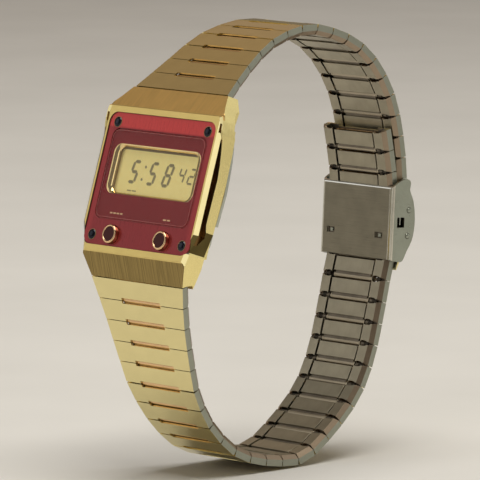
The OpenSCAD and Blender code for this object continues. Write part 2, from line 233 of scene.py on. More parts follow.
# painted highlight: a bright steel for the bright line along the top edge of the clasp floor
M["steel_edge_highlight"] = metal("steel_edge_highlight", (0.80, 0.80, 0.76), 0.18, (4, 4, 4), 0.05, 0.0, 0.03)
M["cover_out"] = metal("cover_brushed", PALE, 0.34, (14, 0.5, 14), 0.12, 0.10, 0.04)
M["screw"] = metal("screw_blue_black", (0.032, 0.034, 0.045), 0.22, None, cloud=0.2)
M["battery"] = metal("cell_steel", (0.66, 0.66, 0.64), 0.25, (6, 0.5, 6), 0.06, 0.03, 0.05)


def lacquer():
    m = Mat("lacquer_face")
    m.put(Metallic=0.55, Roughness=0.30, IOR=1.5)
    m.put(**{"Coat Weight": 0.2, "Coat Roughness": 0.06})
    s = m.noise((13, 0.35, 1), 4, 0.6)
    sep = m.n.new("ShaderNodeSeparateXYZ")
    m.link(m.coord, sep.inputs[0])
    # painted highlight: the lacquer is painted a lighter red in a band above the glass, for the reflection of the
    # overhead light
    sheen_band = m.maprange(sep.outputs["Y"], 9.0 * MM, 9.4 * MM, 0, 1)
    low = m.ramp(s, [(0.25, (0.20, 0.011, 0.016)), (0.75, (0.28, 0.018, 0.022))])
    high = m.ramp(s, [(0.25, (0.42, 0.028, 0.030)), (0.75, (0.60, 0.052, 0.048))])
    # lighter towards the edges outside the glass
    side = m.n.new("ShaderNodeMath"); side.operation = "ABSOLUTE"
    m.link(sep.outputs["X"], side.inputs[0])
    edge = m.maprange(side.outputs[0], 11.9 * MM, 12.4 * MM, 0, 0.35)
    base = m.mix(edge, low, (0.42, 0.034, 0.036))
    base = m.mix(sheen_band, base, high)
    m.link(base, m.b.inputs["Base Color"])
    m.link(m.maprange(s, 0.3, 0.7, 0.24, 0.38), m.b.inputs["Roughness"])
    m.bump(s, 0.10, 0.01)
    return m.m


M["lacquer"] = lacquer()


def printed():
    m = Mat("printed_maroon")
    m.put(Metallic=0.55, Roughness=0.5, IOR=1.2)
    s = m.noise((11, 0.4, 1), 4, 0.6)
    base = m.ramp(s, [(0.25, (0.215, 0.011, 0.015)), (0.75, (0.255, 0.015, 0.019))])
    m.link(base, m.b.inputs["Base Color"])
    m.bump(s, 0.04, 0.01)
    return m.m


M["printed"] = printed()


def lcd_mat():
    m = Mat("display_glass")
    m.put(Metallic=0.6, Roughness=0.42, IOR=1.5)
    a = m.noise((1.5, 1.5, 1.5), 4, 0.7)
    b = m.noise((14, 14, 14), 2, 0.6)
    base = m.ramp(a, [(0.3, (0.98, 0.83, 0.34)), (0.7, (1.0, 0.89, 0.40))])
    grain = m.ramp(b, [(0.2, (0.95,) * 3), (0.8, (1.0,) * 3)])
    m.link(m.mix(1.0, base, grain, "MULTIPLY"), m.b.inputs["Base Color"])
    m.bump(b, 0.03, 0.004)
    return m.m


M["lcd"] = lcd_mat()


def plain(name, color, rough, amt=0.12, scale=4.0, **kw):
    m = Mat(name)
    m.put(Metallic=0.0, Roughness=rough, **kw)
    s = m.noise((scale, scale, scale), 4, 0.6)
    m.link(m.ramp(s, [(0.3, tuple(c * (1 - amt) for c in color)), (0.7, tuple(min(1, c * (1 + amt)) for c in color))]), m.b.inputs["Base Color"])
    m.link(m.maprange(s, 0.3, 0.7, rough - 0.05, rough + 0.05), m.b.inputs["Roughness"])
    m.bump(s, 0.05, 0.01)
    return m.m


M["digit"] = plain("display_segments", (0.23, 0.195, 0.09), 0.4, 0.06)
M["digit_shade"] = plain("display_segment_shadow", (0.50, 0.41, 0.18), 0.4, 0.06)
# a lighter red line along the edge of the glass and the walls of its recess
M["edge_line"] = plain("glass_edge_line", (0.50, 0.15, 0.14), 0.3, 0.1)
M["mark"] = plain("gold_print", (0.70, 0.48, 0.26), 0.4, 0.06)
M["hole"] = plain("hinge_shadow", (0.045, 0.035, 0.024), 0.7, 0.2)
M["black"] = plain("black_plastic", (0.02, 0.02, 0.02), 0.5)
M["board"] = plain("board_green", (0.03, 0.14, 0.07), 0.45)
M["rubber"] = plain("rubber_black", (0.015, 0.015, 0.015), 0.65)
M["inlay"] = plain("button_inlay", (0.045, 0.005, 0.005), 0.35, 0.1, Specular_IOR_Level=0.2)
# painted shade: dark gold-brown for the shade at the foot of the window frame, along the top of the display and round
# each screw
M["gap_shade"] = plain("window_gap_shade", (0.22, 0.15, 0.06), 0.5, 0.2)


def glass_mat():
    m = Mat("watch_glass")
    n, t = m.n, m.t
    out = n["Material Output"]
    tr = n.new("ShaderNodeBsdfTransparent")
    gl = n.new("ShaderNodeBsdfGlossy")
    gl.inputs["Roughness"].default_value = 0.03
    nz = m.noise((0.6, 0.6, 0.6), 2, 0.5)
    tint = m.ramp(nz, [(0.3, (0.975, 0.97, 0.955)), (0.7, (0.985, 0.98, 0.965))])
    t.links.new(tint, tr.inputs["Color"])
    mx = n.new("ShaderNodeMixShader")
    mx.inputs[0].default_value = 0.02
    t.links.new(tr.outputs[0], mx.inputs[1])
    t.links.new(gl.outputs[0], mx.inputs[2])
    t.links.new(mx.outputs[0], out.inputs["Surface"])
    n.remove(m.b)
    return m.m


M["glass"] = glass_mat()

# ------------------------------------------------------------------ mesh helpers (local millimetres)


def add_prism(bm, pts, x0, x1, axis="X"):
    """A closed prism: pts is an outline in the two other axes (counter-clockwise seen from +axis)."""
    def co(p, s):
        if axis == "X":
            return (s, p[0], p[1])
        if axis == "Z":
            return (p[0], p[1], s)
        return (p[0], s, p[1])
    a = [bm.verts.new(co(p, x0)) for p in pts]
    b = [bm.verts.new(co(p, x1)) for p in pts]
    n = len(pts)
    fs = [bm.faces.new(a[::-1]), bm.faces.new(b)]
    for i in range(n):
        fs.append(bm.faces.new((a[i], a[(i + 1) % n], b[(i + 1) % n], b[i])))
    return fs


def circle(r, n=24, cx=0.0, cy=0.0, a0=0.0):
    return [(cx + r * math.cos(2 * math.pi * i / n + a0), cy + r * math.sin(2 * math.pi * i / n + a0)) for i in range(n)]


def rrect(w, h, r, n=6, cx=0.0, cy=0.0):
    out = []
    for k, (sx, sy) in enumerate(((1, -1), (1, 1), (-1, 1), (-1, -1))):
        a0 = -90 + 90 * k
        for i in range(n + 1):
            a = a0 + 90 * i / n
            out.append((cx + sx * (w / 2 - r) + r * cs(a), cy + sy * (h / 2 - r) + r * sn(a)))
    return out


def new_mesh(bm, name):
    bmesh.ops.recalc_face_normals(bm, faces=bm.faces)
    me = bpy.data.meshes.new(name)
    bm.to_mesh(me)
    bm.free()
    return me


def temp_obj(me, name="tmp"):
    o = bpy.data.objects.new(name, me)
    bpy.context.scene.collection.objects.link(o)
    return o


def apply_mods(o):
    dg = bpy.context.evaluated_depsgraph_get()
    dg.update()
    me = bpy.data.meshes.new_from_object(o.evaluated_get(dg), preserve_all_data_layers=True, depsgraph=dg)
    o.modifiers.clear()
    o.data = me
    return o


def boolean(me, cutters, op="DIFFERENCE"):
    o = temp_obj(me)
    objs = []
    for c in cutters:
        k = temp_obj(c)
        objs.append(k)
        md = o.modifiers.new("b", "BOOLEAN")
        md.operation = op
        md.solver = "EXACT"
        md.object = k
    apply_mods(o)
    out = o.data
    for k in objs + [o]:
        bpy.data.objects.remove(k)
    return out


def soften(me, width=0.06, seg=2, angle=32):
    """Rounded edges with flat faces kept flat."""
    o = temp_obj(me)
    for p in me.polygons:
        p.use_smooth = True
    md = o.modifiers.new("bev", "BEVEL")
    md.width = width
    md.segments = seg
    md.limit_method = "ANGLE"
    md.angle_limit = math.radians(angle)
    md.harden_normals = False
    md.use_clamp_overlap = True
    md.miter_outer = "MITER_ARC"
    wn = o.modifiers.new("wn", "WEIGHTED_NORMAL")
    wn.keep_sharp = True
    wn.weight = 80
    apply_mods(o)
    out = o.data
    bpy.data.objects.remove(o)
    return out


def prism_mesh(pts, a, b, axis="X"):
    bm = bmesh.new()
    add_prism(bm, pts, a, b, axis)
    return new_mesh(bm, "p")


def box_mesh(x0, x1, y0, y1, z0, z1):
    return prism_mesh([(y0, z0), (y1, z0), (y1, z1), (y0, z1)], x0, x1)


def lathe(profile, n=48):
    """Solid of revolution about Z from (r, z) points, bottom axis point to top axis point."""
    bm = bmesh.new()
    rings = []
    for r, z in profile:
        if r < 1e-6:
            rings.append([bm.verts.new((0, 0, z))])
        else:
            rings.append([bm.verts.new((r * math.cos(2 * math.pi * i / n), r * math.sin(2 * math.pi * i / n), z)) for i in range(n)])
    for p, q in zip(rings, rings[1:]):
        for i in range(n):
            j = (i + 1) % n
            if len(p) == 1 and len(q) > 1:
                bm.faces.new((p[0], q[j], q[i]))
            elif len(q) == 1 and len(p) > 1:
                bm.faces.new((p[i], p[j], q[0]))
            elif len(p) > 1:
                bm.faces.new((p[i], p[j], q[j], q[i]))
    return new_mesh(bm, "lathe")


def join(parts, name):
    """parts: (mesh, [material keys], chooser(center, normal) -> index, optional matrix)."""
    bm = bmesh.new()
    mats = []
    for part in parts:
        me, keys, pick = part[:3]
        xf = part[3] if len(part) > 3 else None
        me = me.copy()
        if xf is not None:
            me.transform(xf)
            if xf.determinant() < 0:
                me.flip_normals()
        idx = []
        for k in keys:
            if k not in mats:
                mats.append(k)
            idx.append(mats.index(k))
        for p in me.polygons:
            p.material_index = idx[pick(p.center, p.normal) if pick else 0]
        bm.from_mesh(me)
    out = bpy.data.meshes.new(name)
    bm.to_mesh(out)
    bm.free()
    for k in mats:
        out.materials.append(M[k])
    return out


def sized(me):
    me = me.copy()
    me.transform(Matrix.Scale(MM, 4))
    return me


def finish_obj(me, name, matrix, body, nodes=(), sharp=38):
    me = sized(me)
    for p in me.polygons:
        p.use_smooth = True
    me.set_sharp_from_angle(angle=math.radians(sharp))
    # flat faces stay flat beside their rounded edges
    t = temp_obj(me)
    wn = t.modifiers.new("wn", "WEIGHTED_NORMAL")
    wn.keep_sharp = True
    wn.weight = 100
    apply_mods(t)
    me = t.data
    bpy.data.objects.remove(t)
    me.name = name
    o = bpy.data.objects.new(name, me)
    bpy.context.scene.collection.objects.link(o)
    o.matrix_world = matrix
    bpy.context.view_layer.update()
    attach(o, body)
    for n in nodes:
        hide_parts(n)
    return o


# ------------------------------------------------------------------ bracelet link


def shell_mesh(w0, w1, length, first=False):
    """Folded shell of one link, bevelled: outer plate, side walls with inner chamfer, inner lips."""
    h, g = HT - 0.005, 0.055
    w = 15.8
    base = prism_mesh([(g, h), (g, -0.1), (0.34, -h), (length - 0.34, -h), (length - g, -0.1), (length - g, h)], -w / 2, w / 2)
    # inner chamfer along each side
    cuts = []
    for s in (1, -1):
        tri = [(w / 2 * s, -0.2), (w / 2 * s + s, -0.2), (w / 2 * s + s, -h - 1), ((w / 2 - 0.62) * s, -h - 1), ((w / 2 - 0.62) * s, -h)]
        cuts.append(prism_mesh(tri if s < 0 else tri[::-1], -1, length + 1, "Y"))
    cuts.append(box_mesh(-w / 2 + 1.0, w / 2 - 1.0, -1, length + 1, -h + 0.32, h - 0.32))
    cuts.append(box_mesh(-w / 2 + 2.75, w / 2 - 2.75, -1, length + 1, -3, -h + 0.6))
    if not first:
        cuts.append(box_mesh(-4.88, 4.88, -1, 0.50, 0.2, 3))
    cuts.append(box_mesh(-4.88, 4.88, length - 0.50, length + 1, 0.2, 3))
    # almond holes between neighbours, seen from inside
    for y in (0, length):
        for s in (1, -1):
            x = s * (w / 2 - 1.75)
            pts = [(x + a * s, y + b) for a, b in ((1.3, 0), (0.45, 0.50), (-0.45, 0.58), (-0.98, 0.42), (-0.98, -0.42), (-0.45, -0.58), (0.45, -0.50))]
            cuts.append(prism_mesh(pts if s > 0 else pts[::-1], -h - 1, -h + 0.5, "Z"))
            cuts.append(prism_mesh(circle(0.25, 16, y, 0), min(s * 6.6, s * 7.86), max(s * 6.6, s * 7.86)))
    me = boolean(base, cuts)
    me = soften(me, 0.05, 2, 35)
    for v in me.vertices:
        if abs(v.co.x) > 4.95:
            ww = w0 + (w1 - w0) * min(1, max(0, v.co.y / length))
            v.co.x += math.copysign((ww - w) / 2, v.co.x)
    return me


_parts = {}


def link_parts(length, far):
    key = (length, far)
    if key in _parts:
        return _parts[key]
    parts = []
    h = HT - 0.005
    end = length - 0.67 if far != "knuckle" else length - 0.67
    plate = soften(box_mesh(-4.78, 4.78, 0.66, end, -h + 0.08, -0.6), 0.06, 2)
    parts.append((plate, ["link_in"], None))
    roll = soften(prism_mesh(circle(0.615, 28), -4.84, 4.84), 0.05, 2, 50)
    parts.append((roll, ["roll_gold", "roll_steel"], lambda c, n: 0 if c.z > 0.05 else 1))
    if far == "knuckle":
        parts.append((roll, ["roll_gold", "roll_steel"], lambda c, n: 0 if c.z > 0.05 else 1, Matrix.Translation((0, length, 0))))
    # dark filler blocks inside the hollow link: painted shade, so the slots and holes read dark
    parts.append((box_mesh(-3.9, 3.9, 1.2, 2.7, -0.62, 0.66), ["recess_shade"], None))
    parts.append((box_mesh(-4.4, 4.4, 0.1, 1.0, -0.6, -0.35), ["recess_shade"], None))
    # folded lips under the slots
    parts.append((box_mesh(-4.86, 4.86, 0.3, 1.25, -0.2, 0.5), ["roll_gold"], None))
    if far != "knuckle":
        parts.append((prism_mesh([(length - 1.25, -0.2), (length - 0.67, -0.2), (length - 0.67, 0.2), (length - 0.72, 0.5), (length - 1.25, 0.5)], -4.86, 4.86), ["roll_gold"], None))
    # the filler under the last knuckle and the ears are in the steel painted dark for shade
    if far == "knuckle":
        parts.append((box_mesh(-4.4, 4.4, 2.5, length, -0.45, 0.45), ["recess_shade"], None))
    if far == "ears":
        for s in (1, -1):
            x0, x1 = sorted((5.1 * s, 5.8 * s))
            parts.append((box_mesh(x0, x1, 1.6, length, -0.34, 0.34), ["recess_shade"], None))
            parts.append((box_mesh(x0, x1, 1.6, 2.5, -0.34, 0.67), ["recess_shade"], None))
            parts.append((prism_mesh(circle(0.54, 20, length, 0), x0, x1), ["recess_shade"], None))
        parts.append((prism_mesh(circle(0.295, 14, length, 0), -5.79, 5.79), ["pin"], None))
    _parts[key] = parts
    return parts


def shell_pick(c, n):
    if n.z > 0.6 and c.z > 0.5:
        return 0
    if c.z > 0.86 or c.z > 0.1 and (abs(n.y) > 0.6 or abs(c.x) < 4.95 and abs(n.x) > 0.6):
        return 1
    if abs(n.x) > 0.85 and c.z < 0.95:
        return 2
    if n.z < -0.9 and c.z < -0.85:
        return 3
    if n.z < -0.25 and abs(n.x) > 0.25:
        return 4
    if c.z < -0.05:
        return 4
    return 2 if abs(n.x) > 0.3 else 5


def link_mesh(w0, w1, length, far, first=False):
    parts = [(shell_mesh(w0, w1, length, first), ["link_out", "link_edge", "link_side", "link_in", "link_cham", "recess_shade"], shell_pick)]
    parts += link_parts(length, far)
    # hollow of the fold beside the knuckle, and the end of the hinge in each side wall, both painted dark as shade
    for s in (1, -1):
        x0, x1, x2 = 5.88, w0 / 2 - 1.05, w0 / 2 - 0.07
        parts.append((prism_mesh(circle(0.53, 20), min(s * x0, s * x1), max(s * x0, s * x1)), ["hole"], None))
        parts.append((prism_mesh(circle(0.2, 14), min(s * x1, s * x2), max(s * x1, s * x2)), ["recess_shade"], None))
    return join(parts, "link")


_links = {}


def get_link(w0, w1, length, far, flip, first=False):
    key = (w0, w1, length, far, flip, first)
    if key not in _links:
        me = link_mesh(w0, w1, length, far, first)
        if flip:
            me.transform(Matrix.Diagonal((1, 1, -1, 1)))
            me.flip_normals()
        _links[key] = me
    return _links[key]


for i, a in enumerate(UPPER):
    last = i == len(UPPER) - 1
    name = "upper_link_%02d" % (i + 1)
    me = get_link(seam_w(i), seam_w(i + 1), ENDP if last else PITCH, "knuckle" if last else "ears", False, i == 0)
    finish_obj(me, "v_" + name, place(UP[i], a), name, [name])
for i, a in enumerate(LOWER):
    name = "lower_link_%02d" % (i + 1)
    me = get_link(seam_w(i), seam_w(i + 1), PITCH, "plain" if i == len(LOWER) - 1 else "ears", True, i == 0)
    finish_obj(me, "v_" + name, place(LOW[i], a), name, [name])
strap = []
for i, a in enumerate(TAIL_DIR):
    me = get_link(seam_w(9), seam_w(9), PITCH, "plain" if i == len(TAIL_DIR) - 1 else "ears", True)
    strap.append(finish_obj(me, "v_strap_end_%d" % (i + 1), CL @ place(TAIL[i], a), "clasp", ["clasp_strap"] if i == 0 else []))

# ------------------------------------------------------------------ loops and lofts


def loft(loops, cyclic=False, cap=True):
    """Skin between outlines of equal length: a list of [(x, y, z), ...] from bottom to top."""
    bm = bmesh.new()
    rows = [[bm.verts.new(p) for p in l] for l in loops]
    pairs = list(zip(rows, rows[1:])) + ([(rows[-1], rows[0])] if cyclic else [])
    for a, b in pairs:
        n = len(a)
        for i in range(n):
            bm.faces.new((a[i], a[(i + 1) % n], b[(i + 1) % n], b[i]))
    if cap and not cyclic:
        bm.faces.new(rows[0][::-1])
        bm.faces.new(rows[-1])
    return new_mesh(bm, "loft")


def level(pts, z, dx=0.0, dy=0.0):
    return [(x + dx, y + dy, z) for x, y in pts]


def slab(w, h, r, z0, z1, cx=0.0, cy=0.0, n=8):
    return prism_mesh(rrect(w, h, r, n, cx, cy), z0, z1, "Z")


def disc(r, z0, z1, cx=0.0, cy=0.0, n=40):
    return prism_mesh(circle(r, n, cx, cy), z0, z1, "Z")


def ring(rows, cx=0.0, cy=0.0, n=8):
    """A closed ring from (w, h, r, z) rounded rectangles, round its section."""
    return loft([level(rrect(w, h, r, n, cx, cy), z) for w, h, r, z in rows], cyclic=True)


def mirrored(me):
    me = me.copy()
    me.transform(Matrix.Diagonal((-1, 1, 1, 1)))
    me.flip_normals()
    return me


def moved(me, x=0.0, y=0.0, z=0.0):
    me = me.copy()
    me.transform(Matrix.Translation((x, y, z)))
    return me


def chaikin(pts, keep=()):
    """One round of corner cutting on a closed outline; corners in keep stay sharp."""
    out = []
    n = len(pts)
    for i in range(n):
        a, b, c = pts[i - 1], pts[i], pts[(i + 1) % n]
        if i in keep:
            out.append(b)
            continue
        out.append((b[0] * 0.75 + a[0] * 0.25, b[1] * 0.75 + a[1] * 0.25))
        out.append((b[0] * 0.75 + c[0] * 0.25, b[1] * 0.75 + c[1] * 0.25))
    return out


# ------------------------------------------------------------------ head: x across, y up the face, z out of the face


def slope_pt(y, z):
    return (HV + y * cs(SLOPE) + z * sn(SLOPE), HH - y * sn(SLOPE) + z * cs(SLOPE))


SCREWS = [(sx * 11.4, sy * 10.05) for sx in (1, -1) for sy in (1, -1)]
BUTTON_X, BUTTON_V, BUTTON_R = 6.4, -9.7, 1.65
WIN_V = 1.95
half_side = [(12.86, 0.2), (13.05, -0.03), slope_pt(-0.07, HT - 0.01), slope_pt(-0.07, 0), (16.13, -4.12), (16.6, -4.62), (15.9, -4.58), (11.4, -4.0), (11.2, -4.6)]
side = half_side + [(-v, h) for v, h in half_side[::-1]]
right = [(11.55, 17.6), (12.0, 16.8), (13.15, 14.8), (14.33, 13.15), (14.6, 12.2), (14.6, -7.91), (13.352, -11.03), (13.45, -11.3), (13.05, -13.2), (11.3, -17.6)]
plan = [(x, v) for x, v in right[::-1]] + [(-x, v) for x, v in right]


def inset(pts, d):
    return [(x - math.copysign(d, x), y) for x, y in pts]


body = loft([level(plan, -7), level(plan, -0.32), level(inset(plan, 1.17), 0.46)])
body = boolean(prism_mesh(side, -15, 15), [body], "INTERSECT")
groove_pts = [(-10.6, -0.35), (-9.6, -1.1), (-7.6, -2.1), (-5.8, -1.45), (-1.3, -1.55), (2.2, -1.65), (4.8, -1.4), (7.3, -1.0), (9.4, -0.6), (9.4, -0.35)]
recess_pts = [(15.3, -7), (15.3, -4.4), (14.9, -4.15), (14.4, -3.7), (13.9, -3.2), (13, -2.8), (11.3, -2.9), (9.7, -3.3), (7, -3.5), (2, -3.65), (-3, -3.5), (-7.06, -3.3), (-11, -3.9), (-11, -7)]
notch_pts = [(10.1, -0.5), (11.65, -0.2), (11.7, 0.6), (10.1, 0.6)]
bar_plan = [(13.5, -7.91), (14.6, -7.91), (14.94, -7.06), (14.94, 9.6), (14.57, 12.28), (14.30, 13.08), (13.5, 13.08)]
bar_side = [(-8, -1.8), (-7.06, -1.55), (-5.8, -1.2), (-1.3, -1.3), (2.2, -1.4), (4.8, -1.15), (7.3, -0.72), (9, -0.42), (10.6, 0), (12.2, 0.16), (12.84, 0.16), (13.04, -0.06), (13.04, -4.2), (-8, -4.2)]
cheek_pts = [(15.4, -2.5), (16.93, -2.3), (16.9, -4.66), (15.4, -4.5)]
body = boolean(body, [prism_mesh(groove_pts, 13.9, 16), prism_mesh(groove_pts, -16, -13.9)])
bar = boolean(prism_mesh(bar_plan, -5, 1, "Z"), [prism_mesh(bar_side, 13, 15.5)], "INTERSECT")
cheek = boolean(prism_mesh(plan, -7, 0, "Z"), [prism_mesh(cheek_pts, 11.68, 15)], "INTERSECT")
for me in (bar, mirrored(bar), cheek, mirrored(cheek)):
    body = boolean(body, [me], "UNION")
side_cuts = []
for s in (1, -1):
    for pts, x0, x1 in ((notch_pts, 14.02, 14.52), (recess_pts, 13.3, 16)):
        side_cuts.append(prism_mesh(pts, min(s * x0, s * x1), max(s * x0, s * x1)))
body = boolean(body, side_cuts)
cuts = [
        slab(PW + 0.1, PH + 0.1, 1.8, -0.5, 1), slab(22.4, 10.1, 0.8, -3, 0, 0, 2.02), slab(23.2, 20.8, 1.5, -5.6, -2)]
for s in (1, -1):
    cuts.append(disc(1.7, -1.5, 1, s * BUTTON_X, BUTTON_V))
    cuts.append(disc(0.66, -3, 0, s * BUTTON_X, BUTTON_V, 24))
for x, v in SCREWS:
    cuts.append(disc(0.5, -1.8, 1, x, v, 20))
for s in (1, -1):
    # lug ends: room for the first knuckle of the strap, and its cheeks
    c, sgn = slope_pt(0, 0), s
    arc = [(c[0] + 0.8 * cs(a), c[1] + 0.8 * sn(a)) for a in range(0, 360, 15)]
    cuts.append(prism_mesh([(sgn * v, h) for v, h in arc], -5.05, 5.05))
    wedge = [slope_pt(-0.75, -3), slope_pt(-0.75, 0), slope_pt(-0.5, 0), slope_pt(-0.5, 0.66), slope_pt(1.5, 0.66), slope_pt(1.5, -3)]
    cuts.append(prism_mesh([(sgn * v, h) for v, h in wedge], -5.05, 5.05))
body = boolean(body, cuts)
body = soften(body, 0.06, 2, 25)


def case_pick(c, n):
    x, v, h = abs(c.x), abs(c.y), c.z
    inward = c.x * n.x < 0 and abs(n.x) > 0.5 or c.y * n.y < 0 and abs(n.y) > 0.7
    if h > -0.55 and x < 13.5 and v < 11.9 and (inward or h < 0 and n.z > 0.5):
        return 5
    if n.z > 0.97 and h > 0.1 and x < 13.6:
        return 0
    if -11.2 < c.y < -7.0 and x > 13.3 and abs(n.x) > 0.5 and n.y < -0.2:
        return 7
    if -10.75 < c.y < 9.5 and 13.8 < x < 14.92 and -2.4 < h < -0.3:
        if n.z > 0.2 and h < -0.4:
            return 8
        if x < 14.1 and abs(n.x) > 0.8 or n.z < -0.5 or abs(n.y) > 0.5:
            return 4
    if 10.0 < c.y < 11.8 and 14.0 < x < 14.56 and (abs(n.y) > 0.5 or x < 14.12 and h < 0 or n.z > 0.8 and h < 0):
        return 8
    if 12.2 < c.y < 13.3 and x > 12.8 and n.y > 0.3 and n.z < 0.9:
        return 1
    if n.z > 0.75 and v > 12.8 and abs(n.y) > 0.35:
        return 1 if c.y > 0 else 9
    if n.z > 0.45 and h > -0.5 and x > 12.3 and (x < 14.4 or h < 0.05 and c.y < 9):
        return 2
    if abs(n.x) > 0.6 and x > 10 or x > 14.3 and n.z > -0.5:
        return 3
    if h < -1.9 and x < 11.7 and v < 10.5:
        return 5
    if n.z < -0.5:
        return 6
    return 0


# the case carries painted shade in its groove, shelf, lower bar facet and recesses, and the lit and shaded copies of
# the slope gold
case_mesh = join([(body, ["rim", "slope", "polish", "bar", "groove", "recess_shade", "rim", "facet_shade", "ledge_shade", "slope_low"], case_pick)], "v_case")
case_mesh.transform(Matrix.Rotation(math.radians(90 - TILT), 4, "X") @ Matrix.Translation((0, 0, DEPTH)))
finish_obj(case_mesh, "v_case", Matrix.Identity(4), "head", ["case"])

# face plate
plate = slab(PW, PH, 1.75, -0.5, 0, n=10)
cuts = [slab(23.92, 16.12, 1.6, -0.3, 1, -0.1, 0.95), slab(22.3, 9.4, 1.75, -2, 0, 0, WIN_V)]
for s in (1, -1):
    cuts.append(disc(1.72, -2, 1, s * BUTTON_X, BUTTON_V))
for x, v in SCREWS:
    cuts.append(disc(0.5, -2, 1, x, v, 20))
plate = soften(boolean(plate, cuts), 0.05, 2, 40)


def plate_pick(c, n):
    return 1 if abs(n.z) < 0.9 and 0.03 > c.z > -0.12 and abs(c.x + 0.1) < 12.1 and -7.2 < c.y < 9.1 and abs(c.x) > 2 * 0 and not (abs(c.y - BUTTON_V) < 2) else 0


finish_obj(join([(plate, ["lacquer", "edge_line"], plate_pick)], "v_face_plate"), "v_face_plate", HEAD, "head", ["face_plate"])

# glass: a bevelled slab, with the maroon print on its underside
glass = loft([level(rrect(23.8, 16, 1.55, 10, -0.1, 0.95), -0.24), level(rrect(23.8, 16, 1.55, 10, -0.1, 0.95), -0.03), level(rrect(23.2, 15.4, 1.3, 10, -0.1, 0.95), 0.1)])
finish_obj(join([(glass, ["glass"], None)], "v_crystal"), "v_crystal", HEAD, "head", ["crystal"], 12)
print_rows = [(23.7, 15.9, 1.5, -0.30), (23.7, 15.9, 1.5, -0.26), (22.0, 8.9, 1.65, -0.26), (22.0, 8.9, 1.65, -0.30)]
outer = [level(rrect(23.7, 15.9, 1.5, 10, -0.1, 0.95), z) for z in (-0.30, -0.26)]
inner = [level(rrect(22.0, 8.9, 1.6, 10, 0, WIN_V), z) for z in (-0.26, -0.30)]
sheet = loft(outer + inner, cyclic=True)
line_out = loft([level(rrect(23.28, 15.48, 1.35, 10, -0.1, 0.95), z) for z in (0.085, 0.1)] + [level(rrect(23.14, 15.34, 1.3, 10, -0.1, 0.95), z) for z in (0.1, 0.085)], cyclic=True)
marks = []
for x0, x1, v in ((-8.55, -5.1, -5.9), (5.0, 7.0, -6.0)):
    k = 4 if x0 < 0 else 2
    step = (x1 - x0) / k
    for i in range(k):
        marks.append((slab(step - 0.22, 0.26, 0.1, -0.262, -0.25, x0 + step * (i + 0.5), v, 3), ["mark"], None))
finish_obj(join([(sheet, ["printed"], None), (line_out, ["edge_line"], None)] + marks, "v_print"), "v_print", HEAD, "head", ["crystal"])

# window frame: a gold funnel, its foot painted dark for the shade at the bottom of its wall
rows = [(22.2, 9.3, 1.75, -1.2), (22.2, 9.3, 1.75, -0.36), (22.1, 9.2, 1.72, -0.31), (21.9, 9.05, 1.62, -0.31), (21.3, 8.8, 1.5, -0.36), (20.6, 8.55, 1.4, -0.46),
        (20.1, 8.33, 1.3, -0.58), (19.8, 8.18, 1.22, -0.72), (19.7, 8.1, 1.2, -0.8), (19.7, 8.1, 1.2, -1.2)]


def frame_pick(c, n):
    return 1 if c.z < -0.81 and abs(n.z) < 0.3 and abs(c.x) < 10 and abs(c.y - WIN_V) < 4.3 else 0


finish_obj(join([(ring(rows, 0, WIN_V, 10), ["frame_gold", "gap_shade"], frame_pick)], "v_window_frame"), "v_window_frame", HEAD, "head", ["window_frame"])

# display, with slanted seven-segment figures
SEGS = {"0": "abcdef", "2": "abged", "4": "fgbc", "5": "afgcd", "8": "abcdefg"}


def figure(ch, x0, y0, w, h, t, shear=0.2):
    """Hexagonal bars of one figure: x0, y0 is the lower left of its box before the slant."""
    g = 0.05
    a, b = x0 + t / 2, x0 + w - t / 2
    lo, mid, hi = y0 + t / 2, y0 + h / 2, y0 + h - t / 2

    def hor(y):
        return [(a + g, y), (a + g + t / 2, y - t / 2), (b - g - t / 2, y - t / 2), (b - g, y), (b - g - t / 2, y + t / 2), (a + g + t / 2, y + t / 2)]

    def ver(x, ya, yb):
        return [(x, ya + g), (x + t / 2, ya + g + t / 2), (x + t / 2, yb - g - t / 2), (x, yb - g), (x - t / 2, yb - g - t / 2), (x - t / 2, ya + g + t / 2)]
    bars = {"a": hor(hi), "g": hor(mid), "d": hor(lo), "b": ver(b, mid, hi), "c": ver(b, lo, mid), "f": ver(a, mid, hi), "e": ver(a, lo, mid)}
    return [[(x + shear * y, y) for x, y in bars[s]] for s in SEGS[ch]]


polys = figure("5", -7.05, -0.2, 1.95, 4.15, 0.50) + figure("5", -2.42, -0.2, 1.95, 4.15, 0.50) + figure("8", 1.42, -0.2, 1.95, 4.15, 0.50)
polys += figure("4", 5.0, 0.8, 1.55, 2.8, 0.30) + figure("2", 7.45, 0.75, 1.55, 2.85, 0.30)
for x, y in ((-3.74, 2.92), (-3.68, 0.68)):
    xs = x + 0.2 * y
    polys.append([(xs + 0.24 * cs(k * 60), y + 0.24 * sn(k * 60)) for k in range(6)])
for x0, x1 in ((-6.55, -5.55), (-5.3, -4.3)):
    polys.append([(x0, -1.55), (x1, -1.55), (x1 + 0.02, -1.42), (x0 + 0.02, -1.42)])
parts = [(soften(slab(21.6, 9.7, 0.5, -1.6, -1.205, 0, 2.02), 0.04, 2), ["lcd"], None), (slab(20.6, 9.2, 0.3, -2, -1.6, 0, 2.02), ["black"], None)]
for p in polys:
    parts.append((prism_mesh([(x + 0.10, y - 0.10) for x, y in p], -1.205, -1.2035, "Z"), ["digit_shade"], None))
    parts.append((prism_mesh(p, -1.2036, -1.196, "Z"), ["digit"], None))
# painted shadow: a dark strip along the top of the display, under the frame's upper wall
parts.append((box_mesh(-9.8, 9.8, 5.62, 6.1, -1.204, -1.194), ["gap_shade"], None))
finish_obj(join(parts, "v_display"), "v_display", HEAD, "head", ["lcd_panel"])

